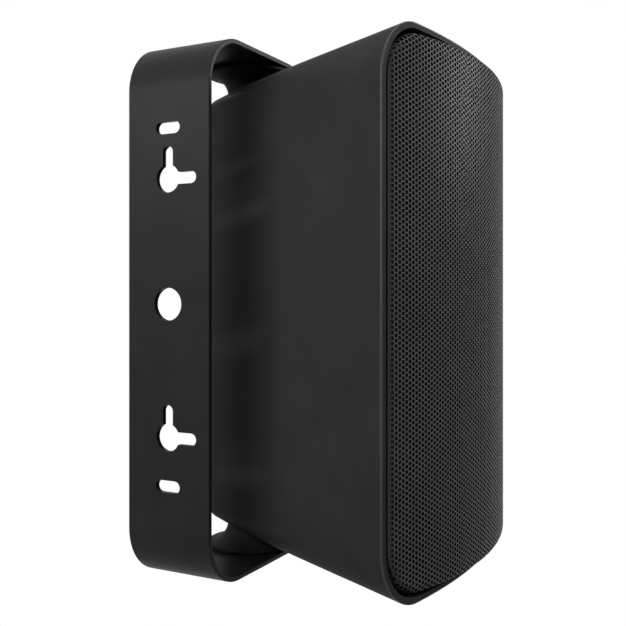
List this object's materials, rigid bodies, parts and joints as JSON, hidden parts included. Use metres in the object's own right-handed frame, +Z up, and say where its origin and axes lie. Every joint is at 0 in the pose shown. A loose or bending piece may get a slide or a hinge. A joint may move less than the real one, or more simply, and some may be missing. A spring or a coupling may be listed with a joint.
{
  "type": "wall speaker",
  "caption": "Wedge-shaped two-way wall speaker with a bowed perforated grille, swivelling in a U bracket of bent steel strip with keyholes and slots for wall screws.",
  "frame": {"origin": "middle of the bracket's wall face, at half the bracket's height", "axes": "+Z up along the bracket's plate, +Y into the wall, -Y out into the room, X along the wall"},
  "size_m": [0.1534, 0.1722, 0.2666],
  "materials": {
    "bracket_coat": "satin black powder coat with a fine grain",
    "cabinet_plastic": "matt black moulded plastic, fine texture",
    "baffle_plastic": "matt black",
    "grille_coat": "matt black powder coat on perforated sheet",
    "cloth": "thin black acoustic cloth",
    "rubber": "matt",
    "foam_rubber": "soft closed-cell foam",
    "black_steel": "black oxide",
    "zinc_steel": "zinc plated",
    "brass": "turned",
    "frame_coat": "black",
    "ferrite": "dull ground ferrite",
    "spider_cloth": "varnished cotton",
    "cone_plastic": "filled polypropylene",
    "copper": "enamelled copper wire",
    "dome_silk": "coated silk",
    "board": "green circuit board",
    "capacitor_film": "wrapped film",
    "resistor_ceramic": "white ceramic",
    "wire_insulation": "flexible red insulation",
    "wadding": "loose polyester wadding"
  },
  "bodies": {
    "bracket": {"wall_bracket": "bracket_coat"},
    "speaker": {"pivot_bolt_upper": "black_steel", "pivot_bolt_lower": "black_steel", "pivot_washer_upper": "black_steel", "pivot_washer_lower": "black_steel", "friction_pad_upper": "rubber", "friction_pad_lower": "rubber", "threaded_insert_upper": "brass", "threaded_insert_lower": "brass", "cabinet": "cabinet_plastic", "front_baffle": "baffle_plastic", "baffle_gasket": "foam_rubber", "baffle_screws": "black_steel", "grille": "grille_coat", "grille_cloth": "cloth", "woofer_frame": "frame_coat", "woofer_top_plate": "zinc_steel", "woofer_magnet": "ferrite", "woofer_yoke": "zinc_steel", "woofer_spider": "spider_cloth", "woofer_surround": "rubber", "woofer_screws": "black_steel", "tweeter_faceplate": "baffle_plastic", "tweeter_dome": "dome_silk", "tweeter_motor": "zinc_steel", "tweeter_screws": "black_steel", "crossover_board": "board", "crossover_coil": "copper", "crossover_capacitor": "capacitor_film", "tweeter_capacitor": "capacitor_film", "crossover_resistor": "resistor_ceramic", "board_screws": "zinc_steel", "terminal_plate": "baffle_plastic", "terminal_block": "baffle_plastic", "terminal_screws": "black_steel", "clamp_screws": "zinc_steel", "damping_wadding": "wadding", "input_wires": "wire_insulation", "woofer_wires": "wire_insulation", "tweeter_wires": "wire_insulation"},
    "moving_cone": {"woofer_cone": "cone_plastic", "woofer_dust_cap": "cone_plastic", "woofer_voice_coil": "copper"}
  },
  "joints": [
    {"name": "swivel", "type": "hinge", "parent": "bracket", "child": "speaker", "pos_m": [0, -0.073, 0], "axis": [0, 0, 1], "range_deg": [0, 180]},
    {"name": "cone_travel", "type": "slide", "parent": "speaker", "child": "moving_cone", "axis": [-1, 0, 0], "range_m": [-0.003, 0.003], "stiffness_N_per_m": 1500, "deforming": ["woofer_surround", "woofer_spider"]}
  ]
}
